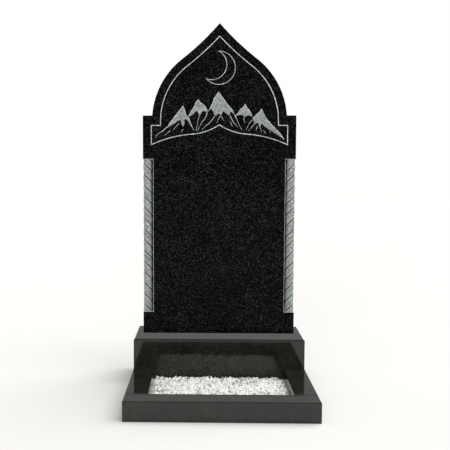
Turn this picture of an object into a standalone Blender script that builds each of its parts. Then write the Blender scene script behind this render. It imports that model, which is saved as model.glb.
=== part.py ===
# Headstone of polished black granite, with a keel arch and twisted columns at its front corners.
# It stands on a plinth, behind a kerbed bed that is filled with white marble chippings.
# Metres, +Z up. The front faces -Y, and the origin is on the ground, under the middle.

from math import acos, atan2, cos, pi, radians, sin

import bmesh
import bpy
import numpy as np
from mathutils import Matrix, Vector, noise

# Stele
STELE_WIDTH = 0.600
STELE_THICKNESS = 0.080
SHOULDER_HEIGHT = 0.864  # from the foot of the stele to its square shoulders
SHOULDER_STEP = 0.037  # width of each shoulder
ARCH_RISE = 0.354  # from the shoulders to the tip
STELE_ARRIS = 0.0015  # small bevel along the edges of the front and back
ARCH_STEPS = 12  # straight runs in the round arc of the arch

# The keel arch for a half width of 1: its rise, and its slopes at the foot, waist and tip
ARCH_RATIO = 1.345
ARCH_SLOPES = (radians(85.8), radians(37.6), radians(48.5))

# Corner columns, carved from the stele's own stone
COLUMN_RADIUS = 0.0172
COLUMN_SETBACK = 0.0005  # behind the stele's front and side
COLUMN_CLEARANCE = 0.0050  # open space between the column and the walls of its niche
COLUMN_FOOT = 0.087  # from the foot of the stele up to the niche's ledge
COLUMN_HEAD_DROP = 0.170  # from the shoulders down to the top of the niche
COLUMN_LEAD = 0.086  # height in which a strand goes once round
COLUMN_STRANDS = 2
COLUMN_GROOVE = 0.0040  # depth of the groove between two strands
COLUMN_SHARPNESS = 0.5  # below 1 the strands are round and the grooves narrow
COLUMN_SIDES = 12
COLUMN_RINGS = 12  # in one lead
COLUMN_ROOT = 0.004  # how far the column runs into the stone at its foot and head

# Border line, carved along the arch and closed below by a swag with a cusp
BORDER_MARGIN = 0.032
BORDER_STEP_DROP = 0.005  # how far its steps lie lower than the margin alone would put them
BORDER_LINE = 0.0048
BORDER_DEPTH = 0.0020
SWAG_CORNER_DROP = 0.116  # from the shoulders down to the swag's ends
SWAG_CUSP_DROP = 0.038  # from the shoulders down to the swag's cusp
SWAG_RATIO = 0.296
SWAG_SLOPES = (radians(25.7), radians(4.0), radians(33.8))
SWAG_STEPS = 8

# Crescent, carved as a line: an outer circle, and the circle that hollows it
CRESCENT_RADIUS = 0.065
CRESCENT_BITE = 0.057
CRESCENT_SHIFT = (-0.0273, 0.0124)  # from the centre of the outer circle to the other
CRESCENT_PLACE = (-0.0030, 0.1835)  # from the middle of the shoulders' level
CRESCENT_LINE = 0.0036
CRESCENT_DEPTH = 0.0020
CRESCENT_STEPS = 16

# Mountains, with sunk caps of snow and thin ridge lines
CAP_DEPTH = 0.0015
RIDGE_DEPTH = 0.0012
RIDGE_LINE = 0.0028
RIDGE_TAPER = 0.5  # share of its width that a ridge line has lost at its foot

# Plinth and kerbs
BASE_WIDTH = 0.660
PLINTH_DEPTH = 0.230
PLINTH_HEIGHT = 0.180
PLINTH_CHAMFER = 0.0045
STELE_SETBACK = 0.100  # from the front of the plinth to the front of the stele
KERB_WIDTH = 0.080
KERB_HEIGHT = 0.070
KERB_ARRIS = 0.0025
BED_LENGTH = 0.320  # from the front kerb to the plinth

# Marble chippings
GRAVEL_DROP = 0.031  # from the top of the kerbs down to the chippings
GRAVEL_LUMP = 0.004
GRAVEL_CELL = 0.020
GRAVEL_GRAIN = 0.024

JOINT = 0.0003  # dry joint between two stones
CUT_PROUD = 0.010  # how far a cutter stands out of the stone

# Limits of the modelling
WELD_DISTANCE = 0.00001
MIRROR_WELD = 0.0001
FLAT_ANGLE = radians(0.1)  # faces that meet at less are one face
CORNER_ANGLE = radians(60)  # edges that turn more are bevelled

POLISHED_BLACK = (0.012, 0.012, 0.013)
MARBLE_WHITE = (0.80, 0.79, 0.77)

# What these sizes lead to
SIDE = STELE_WIDTH / 2
ARCH_HALF = SIDE - SHOULDER_STEP
NICHE_SIZE = COLUMN_SETBACK + 2 * COLUMN_RADIUS + COLUMN_CLEARANCE
NICHE_TOP = SHOULDER_HEIGHT - COLUMN_HEAD_DROP
BASE_LENGTH = KERB_WIDTH + BED_LENGTH + PLINTH_DEPTH
BASE_FRONT = -BASE_LENGTH / 2
BED_FRONT = BASE_FRONT + KERB_WIDTH
BED_BACK = BED_FRONT + BED_LENGTH
STELE_FRONT = BED_BACK + STELE_SETBACK

# The mountains as shares of the arch's half width and of its rise above the shoulders.
# A cap of snow climbs its left flank to the top and comes down its right one, and its hem
# runs from the left end to the right one. Ridge lines run down from it towards the swag.
PEAKS = (
    {
        "rise": ((-0.767, -0.126), (-0.748, -0.090), (-0.621, 0.027)),
        "top": (-0.537, 0.110),
        "fall": ((-0.513, 0.049), (-0.495, 0.000), (-0.453, -0.025), (-0.406, -0.126)),
        "hem": ((-0.670, -0.092), (-0.578, -0.039), (-0.568, -0.083), (-0.538, -0.133),
                (-0.516, -0.084), (-0.522, -0.032), (-0.462, -0.058), (-0.425, -0.120)),
        "ridges": (((-0.760, -0.118), (-0.883, -0.191), (-0.926, -0.203), (-0.956, -0.245)),
                   ((-0.414, -0.116), (-0.372, -0.170))),
    },
    {
        "rise": ((-0.455, -0.012), (-0.428, 0.043), (-0.367, 0.096), (-0.355, 0.142)),
        "top": (-0.312, 0.177),
        "fall": ((-0.287, 0.139), (-0.223, 0.114), (-0.178, 0.052)),
        "hem": ((-0.406, 0.000), (-0.342, 0.053), (-0.312, 0.031), (-0.300, -0.017),
                (-0.274, 0.021), (-0.248, 0.051), (-0.188, 0.036)),
        "ridges": (((-0.300, -0.004), (-0.318, -0.049), (-0.342, -0.163)),
                   ((-0.182, 0.044), (-0.193, -0.018), (-0.266, -0.071), (-0.321, -0.172))),
    },
    {
        "rise": ((-0.167, 0.043), (-0.103, 0.125), (-0.082, 0.186)),
        "top": (-0.015, 0.257),
        "fall": ((0.068, 0.171), (0.137, 0.103), (0.187, 0.069), (0.213, 0.019)),
        "hem": ((-0.123, 0.080), (-0.071, 0.009), (-0.077, -0.015), (-0.054, -0.006),
                (-0.004, 0.026), (0.027, -0.006), (0.055, 0.055), (0.094, 0.023),
                (0.162, -0.015), (0.153, 0.051)),
        "ridges": (((-0.066, -0.006), (-0.155, -0.091), (-0.205, -0.112), (-0.262, -0.160)),
                   ((0.025, 0.004), (-0.022, -0.045), (-0.037, -0.083)),
                   ((0.160, -0.005), (0.204, -0.073), (0.281, -0.134)),
                   ((0.208, 0.030), (0.281, -0.076), (0.333, -0.163))),
    },
    {
        "rise": ((0.230, -0.008), (0.278, 0.028), (0.312, 0.070), (0.354, 0.085)),
        "top": (0.382, 0.124),
        "fall": ((0.406, 0.082), (0.445, 0.057), (0.470, 0.015), (0.492, -0.018)),
        "hem": ((0.320, 0.011), (0.358, -0.004), (0.392, -0.014), (0.431, 0.004)),
        "ridges": (((0.372, -0.006), (0.358, -0.048), (0.384, -0.081)),),
    },
    {
        "rise": ((0.500, -0.032), (0.550, 0.014), (0.598, 0.035)),
        "top": (0.623, 0.072),
        "fall": ((0.653, 0.026), (0.684, -0.026), (0.788, -0.115), (0.891, -0.185),
                 (0.963, -0.267)),
        "hem": ((0.514, -0.091), (0.535, -0.097), (0.563, -0.069), (0.602, -0.146),
                (0.610, -0.123), (0.618, -0.085), (0.679, -0.127), (0.867, -0.215)),
        "ridges": (((0.505, -0.036), (0.440, -0.085), (0.392, -0.163)),
                   ((0.524, -0.088), (0.474, -0.134), (0.431, -0.172)),
                   ((0.603, -0.138), (0.630, -0.183))),
    },
)


def clear_scene():
    for thing in list(bpy.data.objects):
        bpy.data.objects.remove(thing, do_unlink=True)


def new_collection(name):
    group = bpy.data.collections.new(name)
    bpy.context.scene.collection.children.link(group)
    return group


def stone(name, colour, roughness):
    finish = bpy.data.materials.new(name)
    finish.use_nodes = True
    shader = finish.node_tree.nodes["Principled BSDF"]
    shader.inputs["Base Color"].default_value = (*colour, 1.0)
    shader.inputs["Roughness"].default_value = roughness
    shader.inputs["Metallic"].default_value = 0.0
    return finish


def add_object(name, mesh, group, finish=None):
    thing = bpy.data.objects.new(name, mesh)
    group.objects.link(thing)
    if finish:
        mesh.materials.append(finish)
    return thing


def mesh_from(shape, name):
    mesh = bpy.data.meshes.new(name)
    shape.to_mesh(mesh)
    shape.free()
    return mesh


# Outlines in the plane of the stele: rings of (x, z) from the middle of its foot, which run
# anticlockwise as seen from the front. A half is the right side of a symmetric ring, from
# the middle line at the bottom to the middle line at the top.


def whole(half):
    return half + [(-x, z) for x, z in half[-2:0:-1]]


def lifted(points, height):
    return [(x, z + height) for x, z in points]


# The right half of a keel curve, from its foot to its tip: a round arc, then a hollow one.
# The radii are solved for a half width of 1, and the curve is stretched to its real size.
def keel_curve(half_width, rise, ratio, slopes, steps):
    foot, waist, tip = slopes
    across = [sin(foot) - sin(waist), sin(tip) - sin(waist)]
    upward = [cos(waist) - cos(foot), cos(waist) - cos(tip)]
    round_radius, hollow_radius = np.linalg.solve([across, upward], [1.0, ratio])
    x_mid = 1 - round_radius * sin(foot)
    z_mid = -round_radius * cos(foot)
    points = []
    for step in range(steps + 1):
        slope = foot + (waist - foot) * step / steps
        points.append((x_mid + round_radius * sin(slope), z_mid + round_radius * cos(slope)))
    x_mid += (round_radius + hollow_radius) * sin(waist)
    z_mid += (round_radius + hollow_radius) * cos(waist)
    hollow_steps = steps // 2
    for step in range(1, hollow_steps):
        slope = waist + (tip - waist) * step / hollow_steps
        points.append((x_mid - hollow_radius * sin(slope), z_mid - hollow_radius * cos(slope)))
    points.append((0.0, ratio))
    return [(x * half_width, z * rise / ratio) for x, z in points]


# The ring drawn inwards by a distance, with its corners kept sharp
def inset(ring, distance):
    corners = [Vector(point) for point in ring]
    moved = []
    for place, here in enumerate(corners):
        before = (here - corners[place - 1]).normalized()
        after = (corners[(place + 1) % len(corners)] - here).normalized()
        left_before = Vector((-before.y, before.x))
        left_after = Vector((-after.y, after.x))
        mitre = (left_before + left_after) / (1 + left_before.dot(left_after))
        moved.append(tuple(here + mitre * distance))
    return moved


# The same for a half: drawn inwards, the two sides of a tip meet lower down, so what
# has crossed the middle line is trimmed off
def inset_half(half, distance):
    moved = inset(whole(half), distance)[: len(half)]
    kept = [moved[0]]
    for before, here in zip(moved, moved[1:]):
        if here[0] <= 0:
            share = before[0] / (before[0] - here[0])
            kept.append((0.0, before[1] + (here[1] - before[1]) * share))
            break
        kept.append(here)
    return kept


def stele_half():
    arch = keel_curve(ARCH_HALF, ARCH_RISE, ARCH_RATIO, ARCH_SLOPES, ARCH_STEPS)
    return [(0.0, 0.0), (SIDE, 0.0), (SIDE, SHOULDER_HEIGHT)] + lifted(arch, SHOULDER_HEIGHT)


# The border's lower edge, from its corner to the cusp in the middle
def swag_curve():
    rise = SWAG_CORNER_DROP - SWAG_CUSP_DROP
    curve = keel_curve(SIDE - BORDER_MARGIN, rise, SWAG_RATIO, SWAG_SLOPES, SWAG_STEPS)
    return lifted(curve, SHOULDER_HEIGHT - SWAG_CORNER_DROP)


# The border follows the shoulders and the arch, and the swag takes the place of the foot
def border_half():
    outline = stele_half()
    outline[2:4] = lifted(outline[2:4], -BORDER_STEP_DROP)
    return swag_curve()[::-1] + inset_half(outline, BORDER_MARGIN)[2:]


def crescent_outline(radius, bite):
    shift = Vector(CRESCENT_SHIFT)
    apart = shift.length
    heading = atan2(shift.y, shift.x)
    outer_horn = acos((radius**2 + apart**2 - bite**2) / (2 * radius * apart))
    inner_horn = acos((bite**2 + apart**2 - radius**2) / (2 * bite * apart))
    across = CRESCENT_PLACE[0]
    up = SHOULDER_HEIGHT + CRESCENT_PLACE[1]
    points = []
    for step in range(CRESCENT_STEPS):
        angle = heading + outer_horn + 2 * (pi - outer_horn) * step / CRESCENT_STEPS
        points.append((across + radius * cos(angle), up + radius * sin(angle)))
    for step in range(CRESCENT_STEPS):
        angle = heading + pi + inner_horn * (1 - 2 * step / CRESCENT_STEPS)
        points.append((across + shift.x + bite * cos(angle), up + shift.y + bite * sin(angle)))
    return points


# A place in the mountains, from its shares of the arch
def in_arch(place):
    return Vector((place[0] * ARCH_HALF, SHOULDER_HEIGHT + place[1] * ARCH_RISE))


# Solids


# A flat shape that stands upright, from y front to y back, cut from closed rings.
# A ring inside another is a hole.
def upright_slab(name, rings, front, back, group, finish=None):
    outline = bpy.data.curves.new(name, "CURVE")
    outline.dimensions = "2D"
    outline.fill_mode = "BOTH"
    outline.extrude = (back - front) / 2
    for ring in rings:
        spline = outline.splines.new("POLY")
        spline.points.add(len(ring) - 1)
        for point, (x, z) in zip(spline.points, ring):
            point.co = (x, z, 0.0, 1.0)
        spline.use_cyclic_u = True
    drawn = add_object(name + "_outline", outline, group)
    depsgraph = bpy.context.evaluated_depsgraph_get()
    mesh = bpy.data.meshes.new_from_object(drawn.evaluated_get(depsgraph))
    bpy.data.objects.remove(drawn, do_unlink=True)
    shape = bmesh.new()
    shape.from_mesh(mesh)
    bmesh.ops.remove_doubles(shape, verts=shape.verts, dist=WELD_DISTANCE)
    bmesh.ops.dissolve_limit(
        shape, angle_limit=FLAT_ANGLE, verts=shape.verts, edges=shape.edges
    )
    for vert in shape.verts:
        x, z, y = vert.co
        vert.co = (x, front if y > 0 else back, z)
    bmesh.ops.recalc_face_normals(shape, faces=shape.faces)
    shape.to_mesh(mesh)
    shape.free()
    return add_object(name, mesh, group, finish)


# A block that stands on its foot, with its upper edges bevelled, and its upright ones if asked
def bevelled_block(name, low, high, bevel, upright_edges, group, finish):
    size = Vector(high) - Vector(low)
    shape = bmesh.new()
    bmesh.ops.create_cube(shape, size=1.0)
    bmesh.ops.translate(shape, verts=shape.verts, vec=(0.0, 0.0, 0.5))
    bmesh.ops.scale(shape, verts=shape.verts, vec=size)
    edges = []
    for edge in shape.edges:
        ends_up = sum(vert.co.z > size.z / 2 for vert in edge.verts)
        if ends_up == 2 or (ends_up == 1 and upright_edges):
            edges.append(edge)
    bmesh.ops.bevel(
        shape, geom=edges, offset=bevel, segments=1, profile=0.5, affect="EDGES", material=-1
    )
    thing = add_object(name, mesh_from(shape, name), group, finish)
    thing.location = ((low[0] + high[0]) / 2, (low[1] + high[1]) / 2, low[2])
    return thing


def cut(thing, cutter, operation="DIFFERENCE"):
    cutter.hide_render = True
    cutter.display_type = "WIRE"
    cutter.location = thing.location
    change = thing.modifiers.new(cutter.name, "BOOLEAN")
    change.operation = operation
    change.solver = "EXACT"
    change.object = cutter


def mirror_across(thing):
    both = thing.modifiers.new("both_sides", "MIRROR")
    both.use_axis = (True, False, False)
    both.merge_threshold = MIRROR_WELD


# The right niche, open to the front and to the side, and the left one as its mirror
def niches(group):
    size = (NICHE_SIZE + CUT_PROUD, NICHE_SIZE + CUT_PROUD, NICHE_TOP - COLUMN_FOOT)
    shape = bmesh.new()
    bmesh.ops.create_cube(shape, size=1.0)
    bmesh.ops.scale(shape, verts=shape.verts, vec=size)
    x_mid = SIDE - NICHE_SIZE + size[0] / 2
    y_mid = NICHE_SIZE - size[1] / 2
    z_mid = (NICHE_TOP + COLUMN_FOOT) / 2
    bmesh.ops.translate(shape, verts=shape.verts, vec=(x_mid, y_mid, z_mid))
    cutter = add_object("niches", mesh_from(shape, "niches"), group)
    mirror_across(cutter)
    return cutter


# The right column: its section is lifted and turned ring by ring. Its mirror twists the other way.
def columns(group):
    shape = bmesh.new()
    bmesh.ops.create_circle(shape, radius=COLUMN_RADIUS, segments=COLUMN_SIDES)
    for vert in shape.verts:
        around = atan2(vert.co.y, vert.co.x)
        swell = abs(sin(COLUMN_STRANDS * around / 2)) ** COLUMN_SHARPNESS
        vert.co *= 1 - COLUMN_GROOVE * (1 - swell) / COLUMN_RADIUS
    length = NICHE_TOP - COLUMN_FOOT + 2 * COLUMN_ROOT
    rings = max(1, round(COLUMN_RINGS * length / COLUMN_LEAD))
    rise = length / rings
    turn = Matrix.Rotation(2 * pi * rise / COLUMN_LEAD, 3, "Z")
    ring = shape.edges[:]
    for _ in range(rings):
        grown = bmesh.ops.extrude_edge_only(shape, edges=ring)["geom"]
        ring = [part for part in grown if isinstance(part, bmesh.types.BMEdge)]
        corners = [part for part in grown if isinstance(part, bmesh.types.BMVert)]
        bmesh.ops.translate(shape, verts=corners, vec=(0.0, 0.0, rise))
        bmesh.ops.rotate(shape, verts=corners, cent=(0.0, 0.0, 0.0), matrix=turn)
    bmesh.ops.holes_fill(shape, edges=shape.edges)
    bmesh.ops.recalc_face_normals(shape, faces=shape.faces)
    reach = COLUMN_SETBACK + COLUMN_RADIUS
    place = (SIDE - reach, reach, COLUMN_FOOT - COLUMN_ROOT)
    bmesh.ops.translate(shape, verts=shape.verts, vec=place)
    pair = add_object("columns", mesh_from(shape, "columns"), group)
    mirror_across(pair)
    return pair


# A thin line that tapers towards its foot, as a ring
def tapered_line(points, width):
    left = []
    right = []
    for place, point in enumerate(points):
        before = points[max(place - 1, 0)]
        after = points[min(place + 1, len(points) - 1)]
        along = (after - before).normalized()
        square = Vector((-along.y, along.x))
        half = width / 2 * (1 - RIDGE_TAPER * place / (len(points) - 1))
        left.append(point + square * half)
        right.append(point - square * half)
    return left + right[::-1]


# The snow cap of a peak, as a ring
def snow_cap(peak):
    rise, hem, fall = (list(peak[run]) for run in ("rise", "hem", "fall"))
    ring = rise[:1] + hem + fall[::-1] + [peak["top"]] + rise[:0:-1]
    return [in_arch(place) for place in ring]


# A cutter for a sunk shape, which reaches a depth into the front
def sunk(name, rings, depth, group):
    return upright_slab(name, rings, -CUT_PROUD, depth, group)


def stele(group, cutters, finish):
    slab = upright_slab("stele", [whole(stele_half())], 0.0, STELE_THICKNESS, group, finish)
    slab.location = (0.0, STELE_FRONT, PLINTH_HEIGHT + JOINT)
    arris = slab.modifiers.new("arris", "BEVEL")
    arris.width = STELE_ARRIS
    arris.segments = 1
    arris.limit_method = "ANGLE"
    arris.angle_limit = CORNER_ANGLE
    border = [whole(border_half()), whole(inset_half(border_half(), BORDER_LINE))]
    cut(slab, sunk("border_line", border, BORDER_DEPTH, cutters))
    outer = crescent_outline(CRESCENT_RADIUS, CRESCENT_BITE)
    inner = crescent_outline(CRESCENT_RADIUS - CRESCENT_LINE, CRESCENT_BITE + CRESCENT_LINE)
    cut(slab, sunk("crescent_line", [outer, inner], CRESCENT_DEPTH, cutters))
    caps = [snow_cap(peak) for peak in PEAKS]
    ridges = []
    for peak in PEAKS:
        for line in peak["ridges"]:
            ridges.append(tapered_line([in_arch(place) for place in line], RIDGE_LINE))
    cut(slab, sunk("snow_caps", caps, CAP_DEPTH, cutters))
    cut(slab, sunk("ridge_lines", ridges, RIDGE_DEPTH, cutters))
    cut(slab, niches(cutters))
    cut(slab, columns(cutters), "UNION")
    return slab


def plinth(group, finish):
    low = (-BASE_WIDTH / 2, BED_BACK, 0.0)
    high = (BASE_WIDTH / 2, BED_BACK + PLINTH_DEPTH, PLINTH_HEIGHT)
    return bevelled_block("plinth", low, high, PLINTH_CHAMFER, False, group, finish)


# The front kerb runs the whole width, and the side kerbs stand between it and the plinth
def kerbs(group, finish):
    outer = BASE_WIDTH / 2
    inner = outer - KERB_WIDTH
    low = (-outer, BASE_FRONT, 0.0)
    high = (outer, BED_FRONT, KERB_HEIGHT)
    bevelled_block("kerb_front", low, high, KERB_ARRIS, True, group, finish)
    for name, low_x, high_x in (("kerb_left", -outer, -inner), ("kerb_right", inner, outer)):
        low = (low_x, BED_FRONT + JOINT, 0.0)
        high = (high_x, BED_BACK - JOINT, KERB_HEIGHT)
        bevelled_block(name, low, high, KERB_ARRIS, True, group, finish)


# The chippings as one bed with a lumpy top, filling the space between the kerbs
def gravel_bed(group, finish):
    width = BASE_WIDTH - 2 * KERB_WIDTH - 2 * JOINT
    length = BED_LENGTH - 2 * JOINT
    shape = bmesh.new()
    bmesh.ops.create_grid(
        shape,
        x_segments=max(2, round(width / GRAVEL_CELL)),
        y_segments=max(2, round(length / GRAVEL_CELL)),
        size=0.5,
    )
    bmesh.ops.scale(shape, verts=shape.verts, vec=(width, length, 1.0))
    foot = shape.faces[:]
    grown = bmesh.ops.extrude_face_region(shape, geom=foot)["geom"]
    for vert in grown:
        if isinstance(vert, bmesh.types.BMVert):
            lump = noise.noise(vert.co / GRAVEL_GRAIN)
            vert.co.z = KERB_HEIGHT - GRAVEL_DROP + GRAVEL_LUMP * lump
    bmesh.ops.dissolve_faces(shape, faces=foot)
    bmesh.ops.recalc_face_normals(shape, faces=shape.faces)
    bed = add_object("gravel_bed", mesh_from(shape, "gravel_bed"), group, finish)
    bed.location = (0.0, (BED_FRONT + BED_BACK) / 2, 0.0)
    return bed


def build():
    clear_scene()
    group = new_collection("headstone")
    cutters = new_collection("cutters")
    granite = stone("polished_granite", POLISHED_BLACK, 0.06)
    marble = stone("marble_chippings", MARBLE_WHITE, 0.55)
    stele(group, cutters, granite)
    plinth(group, granite)
    kerbs(group, granite)
    gravel_bed(group, marble)


build()
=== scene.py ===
# Headstone of polished black granite: the finish of every stone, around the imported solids.
# Metres, +Z up. The carved front faces -Y, and the origin is on the ground, under the middle.
import random
from math import acos, atan2, cos, pi, radians, sin

import bmesh
import bpy
import numpy as np
from mathutils import Matrix, Quaternion, Vector, noise


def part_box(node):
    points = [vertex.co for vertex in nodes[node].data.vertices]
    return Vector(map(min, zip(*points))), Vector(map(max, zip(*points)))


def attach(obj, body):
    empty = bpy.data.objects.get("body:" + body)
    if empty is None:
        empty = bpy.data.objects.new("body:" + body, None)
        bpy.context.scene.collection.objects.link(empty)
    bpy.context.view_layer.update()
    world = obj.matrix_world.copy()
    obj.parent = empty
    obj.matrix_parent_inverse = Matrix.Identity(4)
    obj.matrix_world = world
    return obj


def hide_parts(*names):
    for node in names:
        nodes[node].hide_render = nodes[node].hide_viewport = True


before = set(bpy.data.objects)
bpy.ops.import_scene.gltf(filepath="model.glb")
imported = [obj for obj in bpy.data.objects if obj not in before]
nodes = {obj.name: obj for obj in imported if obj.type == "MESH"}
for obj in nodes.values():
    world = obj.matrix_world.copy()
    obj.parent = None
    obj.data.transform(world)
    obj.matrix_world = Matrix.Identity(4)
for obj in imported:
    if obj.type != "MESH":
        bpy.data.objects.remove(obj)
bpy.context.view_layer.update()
scene = bpy.context.scene
print("frame loaded:", sorted(nodes))


# Small tools for meshes

def newObject(name, mesh, finishes=()):
    thing = bpy.data.objects.new(name, mesh)
    scene.collection.objects.link(thing)
    for finish in finishes:
        mesh.materials.append(finish)
    return thing


def meshFrom(shape, name):
    mesh = bpy.data.meshes.new(name)
    shape.to_mesh(mesh)
    shape.free()
    return mesh


def vertsIn(geom):
    return [part for part in geom if isinstance(part, bmesh.types.BMVert)]


def edgesIn(geom):
    return [part for part in geom if isinstance(part, bmesh.types.BMEdge)]


# Small tools for materials. A noise is given as its scale, its detail and its roughness.

cloudShape = {"detail": 3.0, "fade": (0.3, 0.7)}


class Finish:
    def __init__(self, name):
        self.material = bpy.data.materials.new(name)
        self.material.use_nodes = True
        self.tree = self.material.node_tree
        self.shader = self.tree.nodes["Principled BSDF"]
        self.place = self.tree.nodes.new("ShaderNodeTexCoord").outputs["Object"]

    def join(self, source, socket):
        if isinstance(source, bpy.types.NodeSocket):
            self.tree.links.new(source, socket)
        else:
            socket.default_value = source

    def math(self, operation, first, second=0.0):
        node = self.tree.nodes.new("ShaderNodeMath")
        node.operation = operation
        self.join(first, node.inputs[0])
        self.join(second, node.inputs[1])
        return node.outputs[0]

    # A place moved by a colour's three parts, each from 0 to the reach
    def displaced(self, place, color, reach):
        node = self.tree.nodes.new("ShaderNodeVectorMath")
        node.operation = "MULTIPLY_ADD"
        self.join(color, node.inputs[0])
        node.inputs[1].default_value = (reach, reach, reach)
        self.join(place, node.inputs[2])
        return node.outputs[0]

    def noise(self, scale, detail=2.0, roughness=0.5, color=False):
        node = self.tree.nodes.new("ShaderNodeTexNoise")
        node.inputs["Scale"].default_value = scale
        node.inputs["Detail"].default_value = detail
        node.inputs["Roughness"].default_value = roughness
        self.join(self.place, node.inputs["Vector"])
        return node.outputs["Color" if color else "Fac"]

    def cells(self, scale, place=None):
        node = self.tree.nodes.new("ShaderNodeTexVoronoi")
        node.inputs["Scale"].default_value = scale
        self.join(place or self.place, node.inputs["Vector"])
        return node

    def channel(self, color, index=0):
        node = self.tree.nodes.new("ShaderNodeSeparateColor")
        self.join(color, node.inputs[0])
        return node.outputs[index]

    def remap(self, value, low, high, newLow=0.0, newHigh=1.0):
        node = self.tree.nodes.new("ShaderNodeMapRange")
        node.inputs["From Min"].default_value = low
        node.inputs["From Max"].default_value = high
        node.inputs["To Min"].default_value = newLow
        node.inputs["To Max"].default_value = newHigh
        self.join(value, node.inputs["Value"])
        return node.outputs["Result"]

    def mix(self, share, first, second, blend="MIX"):
        node = self.tree.nodes.new("ShaderNodeMix")
        node.data_type = "RGBA"
        node.blend_type = blend
        self.join(share, node.inputs["Factor"])
        colors = [socket for socket in node.inputs if socket.type == "RGBA"]
        for socket, value in zip(colors, (first, second)):
            if isinstance(value, tuple):
                value = (*value[:3], 1.0)
            self.join(value, socket)
        return next(socket for socket in node.outputs if socket.type == "RGBA")

    # A colour made darker and lighter by soft clouds
    def clouded(self, color, scale, darkest, lightest):
        noise = self.noise(scale, cloudShape["detail"])
        clouds = self.remap(noise, *cloudShape["fade"], darkest, lightest)
        return self.mix(1.0, color, clouds, "MULTIPLY")

    def bump(self, height, strength, distance):
        node = self.tree.nodes.new("ShaderNodeBump")
        node.inputs["Strength"].default_value = strength
        node.inputs["Distance"].default_value = distance
        self.join(height, node.inputs["Height"])
        self.join(node.outputs["Normal"], self.shader.inputs["Normal"])

    def set(self, **values):
        for name, value in values.items():
            self.join(value, self.shader.inputs[name.replace("_", " ")])


# Polished black granite: dark crystals with grey flecks of two sizes

steleGranite = {
    "dark": (0.0007, 0.0007, 0.0007),
    "grey": (0.0105, 0.0105, 0.0108),
    "pale": (0.048, 0.048, 0.048),
    "crystal": 0.0034,       # size of the larger crystals
    "fine": 0.0018,
    "paleShare": 0.26,
    "greyShare": 0.45,
    "roughness": 0.10,
    "specular": 0.026,       # the photo's slab hardly mirrors its surroundings
}

# The plinth and the kerbs
baseGranite = {
    "dark": (0.0104, 0.0095, 0.0077),
    "grey": (0.0185, 0.0173, 0.0146),
    "pale": (0.041, 0.039, 0.035),
    "crystal": 0.0040,
    "fine": 0.0018,
    "paleShare": 0.07,
    "greyShare": 0.42,
    "roughness": 0.035,
    "specular": 0.5,
}


# What the two granites share
graniteGrain = {
    "raggedNoise": (420.0, 2.0),
    "ragged": 0.55,               # how far an edge strays, in crystals
    "greyFade": 0.25,             # softness of the step from dark to grey crystals
    "paleFade": 0.03,
    "fineFade": (0.62, 0.95),     # chances from which fine crystals start and end turning grey
    "core": (0.55, 0.25),         # a pale fleck fades from its core outwards
    "greyCover": 0.7,
    "fineCover": 0.55,
    "clouds": (14.0, 0.75, 1.25),     # noise scale, darkest and lightest
    "smearNoise": (5.0, 4.0, 0.6),
    "smearFade": (0.35, 0.75),
    "smearRoughness": 0.05,       # what a smear adds
    "fineRoughness": 0.02,
    "pitNoise": (900.0, 2.0),
    "pits": (0.04, 0.0002),       # strength and height
}


def graniteFinish(name, values):
    f = Finish(name)
    grain = graniteGrain
    stray = f.noise(*grain["raggedNoise"], color=True)
    place = f.displaced(f.place, stray, values["crystal"] * grain["ragged"])
    large = f.cells(1 / values["crystal"], place)
    small = f.cells(1 / values["fine"], place)
    largeChance = f.channel(large.outputs["Color"])
    smallChance = f.channel(small.outputs["Color"], 1)
    greyEdge = 1 - values["greyShare"]
    paleEdge = 1 - values["paleShare"]
    greyMask = f.remap(largeChance, greyEdge, greyEdge + grain["greyFade"])
    fineMask = f.remap(smallChance, *grain["fineFade"])
    paleMask = f.remap(largeChance, paleEdge, paleEdge + grain["paleFade"])
    core = f.remap(large.outputs["Distance"], *grain["core"])
    color = f.mix(f.math("MULTIPLY", greyMask, grain["greyCover"]), values["dark"], values["grey"])
    color = f.mix(f.math("MULTIPLY", fineMask, grain["fineCover"]), color, values["grey"])
    color = f.mix(f.math("MULTIPLY", paleMask, core), color, values["pale"])
    color = f.clouded(color, *grain["clouds"])
    f.set(Base_Color=color, Specular_IOR_Level=values["specular"])
    smearNoise = f.noise(*grain["smearNoise"])
    smear = f.remap(smearNoise, *grain["smearFade"], 0.0, grain["smearRoughness"])
    fineRoughness = f.math("MULTIPLY", fineMask, grain["fineRoughness"])
    roughness = f.math("ADD", fineRoughness, f.math("ADD", smear, values["roughness"]))
    f.set(Roughness=roughness)
    f.bump(f.noise(*grain["pitNoise"]), *grain["pits"])
    return f.material


# Stone with its polish cut away: pale, matt and lightly pitted

cutStone = {
    "pale": (0.340, 0.366, 0.350),
    "grey": (0.205, 0.224, 0.214),
    "speck": (0.11, 0.12, 0.115),
    "crystal": 0.0032,
    "roughness": 0.85,
}

columnStone = {
    "pale": (0.385, 0.415, 0.398),
    "grey": (0.150, 0.170, 0.162),
    "speck": (0.055, 0.062, 0.060),
    "crystal": 0.0040,
    "roughness": 0.75,
    "groove": (0.018, 0.020, 0.019),   # painted shade between two strands
    "edge": (0.56, 0.59, 0.57),        # painted highlight along the edges of the strands
}


# What all cut stone shares
cutGrain = {
    "blotchNoise": (160.0, 4.0, 0.6),
    "blotchFade": (0.42, 0.68),           # from pale to grey
    "speckChance": (0.90, 0.97),
    "speckCover": 0.55,
    "crystalShades": (0.62, 1.36),
    "clouds": (28.0, 0.86, 1.10),         # noise scale, darkest and lightest
    "specular": 0.3,
    "pitNoise": (1100.0, 3.0, 0.65),
    "pits": (0.45, 0.0007),               # strength and height
    "crystalRise": 0.35,                  # of one crystal over another, in pits
}
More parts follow.
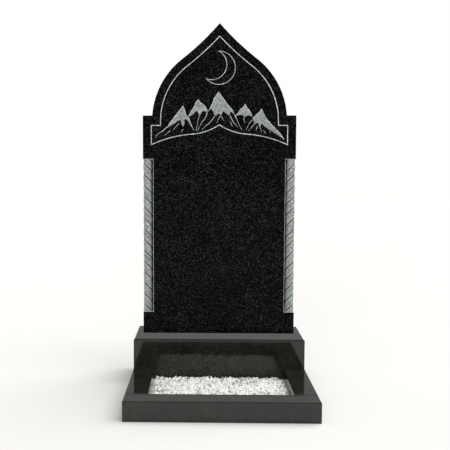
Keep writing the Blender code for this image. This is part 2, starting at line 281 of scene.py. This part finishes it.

# How a column is painted by the swell of its strands, 0 in the groove and 1 on the crown: painted
# highlights along the strands' edges and painted shade in the grooves
strandPaintedLight = {
    "highlightStart": (0.24, 0.36),
    "highlightEnd": (0.70, 0.44),
    "highlightCover": 0.40,
    "grooveShadeFade": (0.29, 0.14),
    "grooveShadeCover": 0.90,
}


def cutStoneFinish(name, values, swell=None, brightness=1.0):
    f = Finish(name)
    grain = cutGrain
    cells = f.cells(1 / values["crystal"])
    shadeChance = f.channel(cells.outputs["Color"])
    speckChance = f.channel(cells.outputs["Color"], 1)
    pale = tuple(part * brightness for part in values["pale"])
    grey = tuple(part * brightness for part in values["grey"])
    blotches = f.remap(f.noise(*grain["blotchNoise"]), *grain["blotchFade"])
    color = f.mix(blotches, pale, grey)
    specks = f.remap(speckChance, *grain["speckChance"], 0.0, grain["speckCover"])
    color = f.mix(specks, color, values["speck"])
    shades = f.remap(shadeChance, 0.0, 1.0, *grain["crystalShades"])
    color = f.mix(1.0, color, shades, "MULTIPLY")
    color = f.clouded(color, *grain["clouds"])
    if swell:
        rise = swell(f)
        # painted highlights along the edges of the strands, beside the grooves
        highlightStart = f.remap(rise, *strandPaintedLight["highlightStart"])
        edge = f.math("MULTIPLY", highlightStart, f.remap(rise, *strandPaintedLight["highlightEnd"]))
        color = f.mix(f.math("MULTIPLY", edge, strandPaintedLight["highlightCover"]), color, values["edge"])
        # painted shade in the grooves between the strands
        groove = f.remap(rise, *strandPaintedLight["grooveShadeFade"], 0.0, strandPaintedLight["grooveShadeCover"])
        color = f.mix(groove, color, values["groove"])
    f.set(Base_Color=color, Roughness=values["roughness"], Specular_IOR_Level=grain["specular"])
    crystals = f.math("MULTIPLY", shadeChance, grain["crystalRise"])
    f.bump(f.math("ADD", f.noise(*grain["pitNoise"]), crystals), *grain["pits"])
    return f.material


print("finishes ready")


# Outlines in the plane of the stele: rings of (x, z), anticlockwise as seen from the front.
# A half is the right side of a symmetric ring, from the middle at its foot to its tip.

steleLow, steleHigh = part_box("stele")
steleSide = steleHigh.x
steleFoot = steleLow.z
steleFront = steleLow.y

steleShape = {
    "shoulderHeight": 0.864,   # from the foot to the square shoulders
    "shoulderStep": 0.037,
    "archRise": 0.354,         # from the shoulders to the tip
    "archRatio": 1.345,        # rise of the arch for a half width of 1
    "archSlopes": (radians(85.8), radians(37.6), radians(48.5)),   # foot, waist, tip
    "archSteps": 44,
    "arris": 0.0018,
    "arrisSegments": 2,
    "arrisAngle": radians(60),     # edges that turn more get an arris
}

shoulderLevel = steleFoot + steleShape["shoulderHeight"]
archHalf = steleSide - steleShape["shoulderStep"]
archRise = steleShape["archRise"]


def whole(half):
    return half + [(-x, z) for x, z in half[-2:0:-1]]


def lifted(points, height):
    return [(x, z + height) for x, z in points]


# A keel curve from its foot to its tip: a round arc, then a hollow one
def keelCurve(halfWidth, rise, ratio, slopes, steps):
    foot, waist, tip = slopes
    across = [sin(foot) - sin(waist), sin(tip) - sin(waist)]
    upward = [cos(waist) - cos(foot), cos(waist) - cos(tip)]
    roundRadius, hollowRadius = np.linalg.solve([across, upward], [1.0, ratio])
    xMid = 1 - roundRadius * sin(foot)
    zMid = -roundRadius * cos(foot)
    points = []
    for step in range(steps + 1):
        slope = foot + (waist - foot) * step / steps
        points.append((xMid + roundRadius * sin(slope), zMid + roundRadius * cos(slope)))
    xMid += (roundRadius + hollowRadius) * sin(waist)
    zMid += (roundRadius + hollowRadius) * cos(waist)
    hollowSteps = steps // 2
    for step in range(1, hollowSteps):
        slope = waist + (tip - waist) * step / hollowSteps
        points.append((xMid - hollowRadius * sin(slope), zMid - hollowRadius * cos(slope)))
    points.append((0.0, ratio))
    return [(x * halfWidth, z * rise / ratio) for x, z in points]


# The ring drawn inwards by a distance, with its corners kept sharp
def inset(ring, distance):
    corners = [Vector(point) for point in ring]
    moved = []
    for place, here in enumerate(corners):
        before = (here - corners[place - 1]).normalized()
        after = (corners[(place + 1) % len(corners)] - here).normalized()
        leftBefore = Vector((-before.y, before.x))
        leftAfter = Vector((-after.y, after.x))
        mitre = (leftBefore + leftAfter) / (1 + leftBefore.dot(leftAfter))
        moved.append(tuple(here + mitre * distance))
    return moved


# The same for a half, trimmed where it crosses the middle
def insetHalf(half, distance):
    moved = inset(whole(half), distance)[: len(half)]
    kept = [moved[0]]
    for before, here in zip(moved, moved[1:]):
        if here[0] <= 0:
            share = before[0] / (before[0] - here[0])
            kept.append((0.0, before[1] + (here[1] - before[1]) * share))
            break
        kept.append(here)
    return kept


def steleHalf():
    arch = keelCurve(archHalf, archRise, steleShape["archRatio"],
                     steleShape["archSlopes"], steleShape["archSteps"])
    corners = [(0.0, steleFoot), (steleSide, steleFoot), (steleSide, shoulderLevel)]
    return corners + lifted(arch, shoulderLevel)


# Carving on the front: the border line, the crescent and the mountains

carving = {
    "proud": 0.010,            # how far a cutter stands out of the stone
    "borderMargin": 0.032,
    "borderStepDrop": 0.005,   # its steps lie lower than the margin alone would put them
    "borderLine": 0.0032,
    "borderDepth": 0.0020,
    "swagCornerDrop": 0.116,   # below the shoulders
    "swagCuspDrop": 0.038,
    "swagRatio": 0.296,
    "swagSlopes": (radians(25.7), radians(4.0), radians(33.8)),
    "swagSteps": 24,
    "crescentRadius": 0.065,
    "crescentBite": 0.057,
    "crescentShift": (-0.0273, 0.0124),
    "crescentPlace": (-0.0030, 0.1835),
    "crescentLine": 0.0024,
    "crescentDepth": 0.0020,
    "crescentSteps": 56,
    "capDepth": 0.0015,
    "ridgeDepth": 0.0012,
    "ridgeLine": 0.0022,
    "ridgeTaper": 0.5,         # share of its width that a line has lost at its foot
    "flankLine": 0.0018,       # bright edge along both flanks of a cap
    "flankDepth": 0.0018,
    "strokes": (               # short strokes between the ridges, placed as the peaks are
        ((-0.598, -0.083), (-0.691, -0.160)),
        ((-0.731, -0.167), (-0.824, -0.223)),
        ((-0.543, -0.150), (-0.568, -0.186)),
        ((0.032, -0.014), (0.068, -0.060)),
        ((0.158, -0.065), (0.196, -0.123)),
        ((0.563, -0.120), (0.545, -0.165)),
        ((0.742, -0.150), (0.764, -0.196)),
        ((0.655, -0.165), (0.690, -0.200)),
    ),
    "strokeLine": 0.0019,
    "strokeDepth": 0.0009,
    "lineBrightness": 2.25,    # of all thin lines, against the snow
    "wander": 0.0004,          # how far a hand-cut edge strays
    "flatAngle": radians(0.1),     # faces of a cutter that meet at less are one face
    "seed": 11,
}

# Numbers of the stele's finishes, which a cutter's faces hand on to the cut
polished, roughCut, columnCut, lineCut = range(4)

# The mountains as shares of the arch's half width and of its rise above the shoulders.
# A cap of snow climbs its left flank to the top and comes down its right one, and its hem
# runs from the left end to the right one. Ridge lines run down from it towards the swag.
peaks = (
    {
        "rise": ((-0.767, -0.126), (-0.748, -0.090), (-0.621, 0.027)),
        "top": (-0.537, 0.110),
        "fall": ((-0.513, 0.049), (-0.495, 0.000), (-0.453, -0.025), (-0.406, -0.126)),
        "hem": ((-0.670, -0.092), (-0.578, -0.039), (-0.568, -0.083), (-0.538, -0.133),
                (-0.516, -0.084), (-0.522, -0.032), (-0.462, -0.058), (-0.425, -0.120)),
        "ridges": (((-0.760, -0.118), (-0.883, -0.191), (-0.926, -0.203), (-0.956, -0.245)),
                   ((-0.414, -0.116), (-0.372, -0.170))),
    },
    {
        "rise": ((-0.455, -0.012), (-0.428, 0.043), (-0.367, 0.096), (-0.355, 0.142)),
        "top": (-0.312, 0.177),
        "fall": ((-0.287, 0.139), (-0.223, 0.114), (-0.178, 0.052)),
        "hem": ((-0.406, 0.000), (-0.342, 0.053), (-0.312, 0.031), (-0.300, -0.017),
                (-0.274, 0.021), (-0.248, 0.051), (-0.188, 0.036)),
        "ridges": (((-0.300, -0.004), (-0.318, -0.049), (-0.342, -0.163)),
                   ((-0.182, 0.044), (-0.193, -0.018), (-0.266, -0.071), (-0.321, -0.172))),
    },
    {
        "rise": ((-0.167, 0.043), (-0.103, 0.125), (-0.082, 0.186)),
        "top": (-0.015, 0.257),
        "fall": ((0.068, 0.171), (0.137, 0.103), (0.187, 0.069), (0.213, 0.019)),
        "hem": ((-0.123, 0.080), (-0.071, 0.009), (-0.077, -0.015), (-0.054, -0.006),
                (-0.004, 0.026), (0.027, -0.006), (0.055, 0.055), (0.094, 0.023),
                (0.162, -0.015), (0.153, 0.051)),
        "ridges": (((-0.066, -0.006), (-0.155, -0.091), (-0.205, -0.112), (-0.262, -0.160)),
                   ((0.025, 0.004), (-0.022, -0.045), (-0.037, -0.083)),
                   ((0.160, -0.005), (0.204, -0.073), (0.281, -0.134)),
                   ((0.208, 0.030), (0.281, -0.076), (0.333, -0.163))),
    },
    {
        "rise": ((0.230, -0.008), (0.278, 0.028), (0.312, 0.070), (0.354, 0.085)),
        "top": (0.382, 0.124),
        "fall": ((0.406, 0.082), (0.445, 0.057), (0.470, 0.015), (0.492, -0.018)),
        "hem": ((0.320, 0.011), (0.358, -0.004), (0.392, -0.014), (0.431, 0.004)),
        "ridges": (((0.372, -0.006), (0.358, -0.048), (0.384, -0.081)),),
    },
    {
        "rise": ((0.500, -0.032), (0.550, 0.014), (0.598, 0.035)),
        "top": (0.623, 0.072),
        "fall": ((0.653, 0.026), (0.684, -0.026), (0.788, -0.115), (0.891, -0.185),
                 (0.963, -0.267)),
        "hem": ((0.514, -0.091), (0.535, -0.097), (0.563, -0.069), (0.602, -0.146),
                (0.610, -0.123), (0.618, -0.085), (0.679, -0.127), (0.867, -0.215)),
        "ridges": (((0.505, -0.036), (0.440, -0.085), (0.392, -0.163)),
                   ((0.524, -0.088), (0.474, -0.134), (0.431, -0.172)),
                   ((0.603, -0.138), (0.630, -0.183))),
    },
)


def swagCurve():
    rise = carving["swagCornerDrop"] - carving["swagCuspDrop"]
    curve = keelCurve(steleSide - carving["borderMargin"], rise, carving["swagRatio"],
                      carving["swagSlopes"], carving["swagSteps"])
    return lifted(curve, shoulderLevel - carving["swagCornerDrop"])


def borderHalf():
    outline = steleHalf()
    outline[2:4] = lifted(outline[2:4], -carving["borderStepDrop"])
    return swagCurve()[::-1] + insetHalf(outline, carving["borderMargin"])[2:]


def crescentOutline(radius, bite):
    shift = Vector(carving["crescentShift"])
    apart = shift.length
    heading = atan2(shift.y, shift.x)
    outerHorn = acos((radius**2 + apart**2 - bite**2) / (2 * radius * apart))
    innerHorn = acos((bite**2 + apart**2 - radius**2) / (2 * bite * apart))
    across = carving["crescentPlace"][0]
    up = shoulderLevel + carving["crescentPlace"][1]
    steps = carving["crescentSteps"]
    points = []
    for step in range(steps):
        angle = heading + outerHorn + 2 * (pi - outerHorn) * step / steps
        points.append((across + radius * cos(angle), up + radius * sin(angle)))
    for step in range(steps):
        angle = heading + pi + innerHorn * (1 - 2 * step / steps)
        points.append((across + shift.x + bite * cos(angle), up + shift.y + bite * sin(angle)))
    return points


def inArch(place):
    return Vector((place[0] * archHalf, shoulderLevel + place[1] * archRise))


# A run of corners, with each corner cut off into two, twice over. The ends are kept.
def softened(points):
    for _ in range(2):
        smooth = [points[0]]
        for here, after in zip(points, points[1:]):
            smooth += [here.lerp(after, 0.25), here.lerp(after, 0.75)]
        points = smooth[:1] + smooth[2:-1] + [points[-1]]
    return points


def strayed(points, chance):
    wander = carving["wander"]
    return [point + Vector((chance.uniform(-wander, wander), chance.uniform(-wander, wander)))
            for point in points]


# A ring round a line of a given width, which loses a share of its width by its end
def taperedLine(points, width, taper=0.0):
    left = []
    right = []
    for place, point in enumerate(points):
        before = points[max(place - 1, 0)]
        after = points[min(place + 1, len(points) - 1)]
        along = (after - before).normalized()
        square = Vector((-along.y, along.x))
        half = width / 2 * (1 - taper * place / (len(points) - 1))
        left.append(point + square * half)
        right.append(point - square * half)
    return left + right[::-1]


# The snow cap of a peak, as a ring
def snowCap(peak, chance):
    runs = {}
    for name in ("rise", "hem", "fall"):
        runs[name] = [inArch(place) for place in peak[name]]
    top = inArch(peak["top"])
    rise = softened(runs["rise"] + [top])
    hem = softened([rise[0]] + runs["hem"] + [runs["fall"][-1]])
    fall = softened([top] + runs["fall"])
    return strayed(hem + fall[-2:0:-1] + [top] + rise[-2:0:-1], chance)


# From the foot of a cap's left flank over its top to the foot of its right one
def capFlanks(peak):
    top = [inArch(peak["top"])]
    rise = [inArch(place) for place in peak["rise"]]
    fall = [inArch(place) for place in peak["fall"]]
    return softened(rise + top) + softened(top + fall)[1:]


# A cutter for a sunk shape, from rings in the plane of the front
def sunk(name, rings, depth, finish):
    shape = bmesh.new()
    for ring in rings:
        corners = [shape.verts.new((x, steleFront - carving["proud"], z)) for x, z in ring]
        for place, corner in enumerate(corners):
            shape.edges.new((corner, corners[(place + 1) % len(corners)]))
    bmesh.ops.triangle_fill(shape, use_beauty=True, edges=shape.edges, normal=(0.0, -1.0, 0.0))
    bmesh.ops.dissolve_limit(shape, angle_limit=carving["flatAngle"], verts=[], edges=shape.edges)
    grown = bmesh.ops.extrude_face_region(shape, geom=shape.faces[:])["geom"]
    bmesh.ops.translate(shape, verts=vertsIn(grown), vec=(0.0, carving["proud"] + depth, 0.0))
    bmesh.ops.recalc_face_normals(shape, faces=shape.faces)
    for face in shape.faces:
        face.material_index = finish
    return newObject(name, meshFrom(shape, name))


# Cuts the cutter out of the slab, or joins it on, and removes the cutter
def carve(slab, cutter, operation="DIFFERENCE"):
    change = slab.modifiers.new(cutter.name, "BOOLEAN")
    change.operation = operation
    change.solver = "MANIFOLD"
    change.object = cutter
    bpy.context.view_layer.update()
    shaped = slab.evaluated_get(bpy.context.evaluated_depsgraph_get())
    mesh = bpy.data.meshes.new_from_object(shaped)
    slab.modifiers.clear()
    slab.data = mesh
    bpy.data.objects.remove(cutter, do_unlink=True)


def steleSlab():
    shape = bmesh.new()
    front = [shape.verts.new((x, steleLow.y, z)) for x, z in whole(steleHalf())[1:]]
    shape.faces.new(front)
    grown = bmesh.ops.extrude_face_region(shape, geom=shape.faces[:])["geom"]
    bmesh.ops.translate(shape, verts=vertsIn(grown), vec=(0.0, steleHigh.y - steleLow.y, 0.0))
    bmesh.ops.recalc_face_normals(shape, faces=shape.faces)
    rims = [edge for edge in shape.edges if edge.calc_face_angle(0.0) > steleShape["arrisAngle"]]
    bmesh.ops.bevel(shape, geom=rims, offset=steleShape["arris"], profile=0.5, affect="EDGES",
                    segments=steleShape["arrisSegments"], material=-1)
    for vert in shape.verts:
        vert.co.z = min(vert.co.z, steleHigh.z)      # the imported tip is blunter
    return newObject("steleStone", meshFrom(shape, "steleStone"))


print("outlines ready")


# Corner columns: a section with round strands, lifted and turned ring by ring

column = {
    "radius": 0.0172,
    "setback": 0.0005,       # behind the front and the side of the stele
    "clearance": 0.0050,     # to the walls of the niche
    "foot": 0.087,           # ledge of the niche, above the foot of the stele
    "headDrop": 0.170,       # from the shoulders to the top of the niche
    "lead": 0.086,
    "strands": 2,
    "groove": 0.0040,
    "sharpness": 0.5,
    "sides": 48,
    "rings": 40,             # in one lead
    "root": 0.004,           # how far it runs into the stone at both ends
    "rimHighlight": 0.0011,           # painted highlight: a pale line along the niche's front edges
    "rimHighlightDepth": 0.0012,
}
nicheSize = column["setback"] + 2 * column["radius"] + column["clearance"]
nicheFoot = steleFoot + column["foot"]
nicheTop = shoulderLevel - column["headDrop"]
columnX = steleSide - column["setback"] - column["radius"]
columnY = steleFront + column["setback"] + column["radius"]


# A box over the slab's corner, on the right for side 1 and on the left for side -1
def cornerBox(side, width, depth, foot, top):
    proud = carving["proud"]
    size = (width + proud, depth + proud, top - foot)
    shape = bmesh.new()
    bmesh.ops.create_cube(shape, size=1.0)
    bmesh.ops.scale(shape, verts=shape.verts, vec=size)
    xMid = steleSide - width + size[0] / 2
    yMid = steleFront + depth - size[1] / 2
    bmesh.ops.translate(shape, verts=shape.verts, vec=(side * xMid, yMid, (top + foot) / 2))
    shape.normal_update()
    return shape


# The niche of a column. Only its foot, the ledge, is left rough and pale.
def nicheCutter(side):
    shape = cornerBox(side, nicheSize, nicheSize, nicheFoot, nicheTop)
    for face in shape.faces:
        facesDown = face.normal.z < -0.5
        face.material_index = roughCut if facesDown else polished
    return newObject("niche", meshFrom(shape, "niche"))


# The thin pale line along the niche's front edges, a painted highlight where they would catch the
# light
def rimHighlightCutter(side):
    rimHighlight = column["rimHighlight"]
    shape = cornerBox(side, nicheSize + rimHighlight, column["rimHighlightDepth"], nicheFoot - rimHighlight, nicheTop + rimHighlight)
    for face in shape.faces:
        face.material_index = lineCut
    return newObject("nicheRimHighlight", meshFrom(shape, "nicheRimHighlight"))


def twistedColumn(side):
    shape = bmesh.new()
    bmesh.ops.create_circle(shape, radius=column["radius"], segments=column["sides"])
    for vert in shape.verts:
        around = atan2(vert.co.y, vert.co.x)
        swell = abs(sin(column["strands"] * around / 2)) ** column["sharpness"]
        vert.co *= 1 - column["groove"] * (1 - swell) / column["radius"]
    length = nicheTop - nicheFoot + 2 * column["root"]
    rings = round(column["rings"] * length / column["lead"])
    rise = length / rings
    turn = Matrix.Rotation(side * 2 * pi * rise / column["lead"], 3, "Z")
    ring = shape.edges[:]
    for _ in range(rings):
        grown = bmesh.ops.extrude_edge_only(shape, edges=ring)["geom"]
        ring = edgesIn(grown)
        corners = vertsIn(grown)
        bmesh.ops.translate(shape, verts=corners, vec=(0.0, 0.0, rise))
        bmesh.ops.rotate(shape, verts=corners, cent=(0.0, 0.0, 0.0), matrix=turn)
    bmesh.ops.holes_fill(shape, edges=shape.edges)
    bmesh.ops.recalc_face_normals(shape, faces=shape.faces)
    for face in shape.faces:
        face.material_index = columnCut
        face.smooth = len(face.verts) == 4      # all but the two ends
    place = (side * columnX, columnY, nicheFoot - column["root"])
    bmesh.ops.translate(shape, verts=shape.verts, vec=place)
    return newObject("column", meshFrom(shape, "column"))


# How far a point of the column bulges: 0 between two strands, 1 on a strand's crown
def columnSwell(f):
    parts = f.tree.nodes.new("ShaderNodeSeparateXYZ")
    f.join(f.place, parts.inputs[0])
    across = f.math("SUBTRACT", f.math("ABSOLUTE", parts.outputs["X"]), columnX)
    back = f.math("SUBTRACT", parts.outputs["Y"], columnY)
    around = f.math("ARCTAN2", back, across)
    height = f.math("SUBTRACT", parts.outputs["Z"], nicheFoot - column["root"])
    twist = f.math("MULTIPLY", height, 2 * pi / column["lead"])
    phase = f.math("MULTIPLY", f.math("SUBTRACT", around, twist), column["strands"] / 2)
    return f.math("ABSOLUTE", f.math("SINE", phase))


def makeStele():
    granite = graniteFinish("polishedStele", steleGranite)
    cutFinish = cutStoneFinish("cutStone", cutStone)
    columnFinish = cutStoneFinish("columnStone", columnStone, columnSwell)
    lineFinish = cutStoneFinish("lineStone", cutStone, brightness=carving["lineBrightness"])
    slab = steleSlab()
    for finish in (granite, cutFinish, columnFinish, lineFinish):
        slab.data.materials.append(finish)
    for side in (1, -1):
        carve(slab, rimHighlightCutter(side))
        carve(slab, nicheCutter(side))
    border = [whole(borderHalf()), whole(insetHalf(borderHalf(), carving["borderLine"]))]
    carve(slab, sunk("borderLine", border, carving["borderDepth"], lineCut))
    line = carving["crescentLine"]
    outer = crescentOutline(carving["crescentRadius"], carving["crescentBite"])
    inner = crescentOutline(carving["crescentRadius"] - line, carving["crescentBite"] + line)
    carve(slab, sunk("crescentLine", [outer, inner], carving["crescentDepth"], lineCut))
    chance = random.Random(carving["seed"])
    caps = [snowCap(peak, chance) for peak in peaks]
    ridges = []
    for peak in peaks:
        for line in peak["ridges"]:
            path = strayed(softened([inArch(place) for place in line]), chance)
            ridges.append(taperedLine(path, carving["ridgeLine"], carving["ridgeTaper"]))
    strokes = []
    for line in carving["strokes"]:
        path = strayed([inArch(place) for place in line], chance)
        strokes.append(taperedLine(path, carving["strokeLine"], carving["ridgeTaper"]))
    carve(slab, sunk("strokes", strokes, carving["strokeDepth"], lineCut))
    carve(slab, sunk("ridgeLines", ridges, carving["ridgeDepth"], lineCut))
    carve(slab, sunk("snowCaps", caps, carving["capDepth"], roughCut))
    flanks = [taperedLine(capFlanks(peak), carving["flankLine"]) for peak in peaks]
    carve(slab, sunk("capFlanks", flanks, carving["flankDepth"], lineCut))
    for side in (1, -1):
        carve(slab, twistedColumn(side), "UNION")
    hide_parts("stele")
    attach(slab, "root")
    slab.visible_glossy = False      # the photo's plinth doesn't mirror the slab above it
    return slab


stele = makeStele()
print("stele ready:", len(stele.data.polygons), "faces")


# Plinth and kerbs keep their solids and take a deep mirror polish

baseFinish = graniteFinish("polishedBase", baseGranite)
for name in ("plinth", "kerb_front", "kerb_left", "kerb_right"):
    stone = nodes[name]
    stone.data.materials.clear()
    stone.data.materials.append(baseFinish)
print("plinth and kerbs polished")


# Marble chippings: slivers of a few shapes, strewn over a lumpy bed painted grey as shade in the
# gaps between them

chippings = {
    "seed": 4,
    "shapes": 14,
    "count": 3000,
    "length": (0.0150, 0.0230),
    "width": (0.0056, 0.0082),
    "thick": (0.0042, 0.0064),
    "jitter": 0.26,
    "tilt": radians(50),
    "standing": 0.10,              # share of the slivers that stand up steeply
    "standingTilt": (radians(40), radians(70)),
    "surface": 0.0110,             # their level, below the highest lump of the solid
    "layers": (-0.0060, 0.0030),   # centres of the slivers, from that level
    "bedDrop": 0.0070,             # depth of the bed under that level
    "cell": 0.0075,                # of the bed's grid
    "lump": 0.002,
    "white": (0.985, 0.978, 0.945),
    # the grey of the greyest chippings, and of the bed, where it is painted shade in the gaps
    "grey": (0.16, 0.155, 0.145),
    "greyCover": 0.75,             # how grey the greyest chipping is
    "greyRarity": 6,               # the higher, the fewer chippings are grey
    "veinNoise": (240.0, 4.0, 0.65),
    "veinFade": (0.45, 0.72),
    "veinCover": 0.12,
    "roughness": 0.55,
    "specular": 0.35,
    "pitNoise": (1500.0, 3.0, 0.6),
    "pits": (0.35, 0.0005),        # strength and height
}


def chippingFinish():
    f = Finish("marbleChippings")
    shade = f.tree.nodes.new("ShaderNodeAttribute")
    shade.attribute_name = "shade"
    veinNoise = f.noise(*chippings["veinNoise"])
    veins = f.remap(veinNoise, *chippings["veinFade"], 0.0, chippings["veinCover"])
    tone = f.math("ADD", f.math("MULTIPLY", shade.outputs["Fac"], chippings["greyCover"]), veins)
    color = f.mix(tone, chippings["white"], chippings["grey"])
    f.set(Base_Color=color, Roughness=chippings["roughness"])
    f.set(Specular_IOR_Level=chippings["specular"])
    f.bump(f.noise(*chippings["pitNoise"]), *chippings["pits"])
    return f.material


# One angular sliver as a ball of diameter 1, pushed out of round. It is drawn out when strewn.
def chippingShape(chance):
    shape = bmesh.new()
    bmesh.ops.create_icosphere(shape, subdivisions=1, radius=0.5)
    for vert in shape.verts:
        push = [chance.uniform(-chippings["jitter"], chippings["jitter"]) for _ in range(3)]
        vert.co += Vector(push) * 0.5
    bmesh.ops.recalc_face_normals(shape, faces=shape.faces)
    return meshFrom(shape, "sliver")


# The lumpy bed under the slivers, down to the ground
def chippingBed(low, high, surface):
    cell = chippings["cell"]
    width = high.x - low.x
    length = high.y - low.y
    shape = bmesh.new()
    bmesh.ops.create_grid(shape, x_segments=round(width / cell), y_segments=round(length / cell),
                          size=0.5)
    bmesh.ops.scale(shape, verts=shape.verts, vec=(width, length, 1.0))
    middle = ((low.x + high.x) / 2, (low.y + high.y) / 2, 0.0)
    bmesh.ops.translate(shape, verts=shape.verts, vec=middle)
    floorFaces = shape.faces[:]
    for vert in vertsIn(bmesh.ops.extrude_face_region(shape, geom=floorFaces)["geom"]):
        lump = noise.noise(vert.co / cell)
        vert.co.z = surface - chippings["bedDrop"] + chippings["lump"] * lump
    bmesh.ops.dissolve_faces(shape, faces=floorFaces)
    bmesh.ops.recalc_face_normals(shape, faces=shape.faces)
    return shape


# Where one sliver lies, how it is turned and how it is drawn out
def sliverPlace(low, high, surface, chance):
    size = Vector((chance.uniform(*chippings[key]) for key in ("length", "width", "thick")))
    reach = size.x * 0.5
    spot = Vector((
        chance.uniform(low.x + reach, high.x - reach),
        chance.uniform(low.y + reach, high.y - reach),
        surface + chance.uniform(*chippings["layers"]),
    ))
    turn = Matrix.Rotation(chance.uniform(0, 2 * pi), 4, "Z")
    tilt = chance.uniform(-1, 1) * chippings["tilt"]
    if chance.random() < chippings["standing"]:
        tilt = chance.uniform(*chippings["standingTilt"])
    turn @= Matrix.Rotation(tilt, 4, "Y")
    turn @= Matrix.Rotation(chance.uniform(0, 2 * pi), 4, "X")
    return Matrix.Translation(spot) @ turn @ Matrix.Diagonal((*size, 1.0))


def makeChippings():
    low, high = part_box("gravel_bed")
    surface = high.z - chippings["surface"]
    chance = random.Random(chippings["seed"])
    slivers = [chippingShape(chance) for _ in range(chippings["shapes"])]
    shape = chippingBed(low, high, surface)
    bedFaces = len(shape.faces)
    for count in range(chippings["count"]):
        sliver = slivers[count % len(slivers)]
        place = sliverPlace(low, high, surface, chance)
        sliver.transform(place)
        shape.from_mesh(sliver)
        sliver.transform(place.inverted())
    mesh = meshFrom(shape, "chippings")
    rarity = chippings["greyRarity"]
    tones = [chance.random() ** rarity for _ in range(chippings["count"])]
    shades = np.ones(len(mesh.polygons), dtype=np.float32)      # the bed under them is grey, painted shade for the gaps between the slivers
    shades[bedFaces:] = np.repeat(tones, len(slivers[0].polygons))
    mesh.attributes.new("shade", "FLOAT", "FACE").data.foreach_set("value", shades)
    piece = newObject("chippings", mesh, [chippingFinish()])
    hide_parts("gravel_bed")
    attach(piece, "root")
    return piece


chips = makeChippings()
print("chippings ready:", len(chips.data.polygons), "faces")


# Floor, light and camera

studio = {
    "floorTone": (0.715, 0.708, 0.693, 1.0),
    "floorRoughness": 0.9,
    "floorSize": 60.0,
    "backdrop": 1.0,         # the background as the camera sees it
    "mirrored": 0.36,        # as the polished stones mirror it
    "ambient": 0.50,         # as it lights the rest
    "backdropTone": (1.0, 0.998, 0.992, 1.0),
    "suns": (
        {"name": "keySun", "from": (1.5, 0.35, 3.0), "strength": 2.92, "angle": radians(64)},
        {"name": "frontSun", "from": (-0.4, -2.4, 0.9), "strength": 0.9, "angle": radians(40)},
    ),
}

view = {
    "eye": (-0.0658, -2.5261, 0.8322),
    "yaw": -0.0226,      # in radians, like pitch and roll
    "pitch": -0.0800,
    "roll": 0.0011,
    "focal": 687.4,      # in pixels of the 450 pixel frame
    "frame": 450.0,
    "sensor": 36.0,      # width in millimetres, which only sets the unit of the lens
    "shift": 0.085,      # the photo's frame isn't centred on its line of sight
}


def makeFloor():
    shape = bmesh.new()
    bmesh.ops.create_grid(shape, x_segments=1, y_segments=1, size=studio["floorSize"] / 2)
    f = Finish("paleFloor")
    f.set(Base_Color=studio["floorTone"], Specular_IOR_Level=0.0)
    f.set(Roughness=studio["floorRoughness"])
    floor = newObject("floor", meshFrom(shape, "floor"), [f.material])


# Soft suns that light the stones and aren't mirrored in their polish
def makeSuns():
    for values in studio["suns"]:
        lamp = bpy.data.lights.new(values["name"], "SUN")
        lamp.energy = values["strength"]
        lamp.angle = values["angle"]
        sun = bpy.data.objects.new(values["name"], lamp)
        sun.location = values["from"]
        sun.rotation_euler = (-sun.location).to_track_quat("-Z", "Y").to_euler()
        sun.visible_glossy = False
        scene.collection.objects.link(sun)


# A Mix node that gives a strength to one kind of ray. Its third socket is for the other rays.
def pickedStrength(tree, ray, strength):
    pick = tree.nodes.new("ShaderNodeMix")
    tree.links.new(ray, pick.inputs[0])
    pick.inputs[3].default_value = strength
    return pick


# The background is seen as white, lights the stones softly, and is mirrored as a dimmer studio
def makeWorld():
    world = bpy.data.worlds.new("studio")
    world.use_nodes = True
    tree = world.node_tree
    light = tree.nodes.new("ShaderNodeLightPath")
    background = tree.nodes["Background"]
    background.inputs["Color"].default_value = studio["backdropTone"]
    mirrored = pickedStrength(tree, light.outputs["Is Glossy Ray"], studio["mirrored"])
    mirrored.inputs[2].default_value = studio["ambient"]
    shown = pickedStrength(tree, light.outputs["Is Camera Ray"], studio["backdrop"])
    tree.links.new(mirrored.outputs[0], shown.inputs[2])
    tree.links.new(shown.outputs[0], background.inputs["Strength"])
    scene.world = world


def makeCamera():
    lens = bpy.data.cameras.new("camera")
    lens.sensor_width = view["sensor"]
    lens.lens = view["focal"] / view["frame"] * lens.sensor_width
    lens.shift_x = view["shift"]
    camera = bpy.data.objects.new("camera", lens)
    camera.location = view["eye"]
    gaze = Vector((
        sin(view["yaw"]) * cos(view["pitch"]),
        cos(view["yaw"]) * cos(view["pitch"]),
        sin(view["pitch"]),
    ))
    level = gaze.to_track_quat("-Z", "Y")
    camera.rotation_euler = (level @ Quaternion((0.0, 0.0, 1.0), view["roll"])).to_euler()
    scene.collection.objects.link(camera)
    scene.camera = camera


makeFloor()
makeWorld()
makeSuns()
makeCamera()
scene.view_settings.view_transform = "Standard"
print("studio ready")
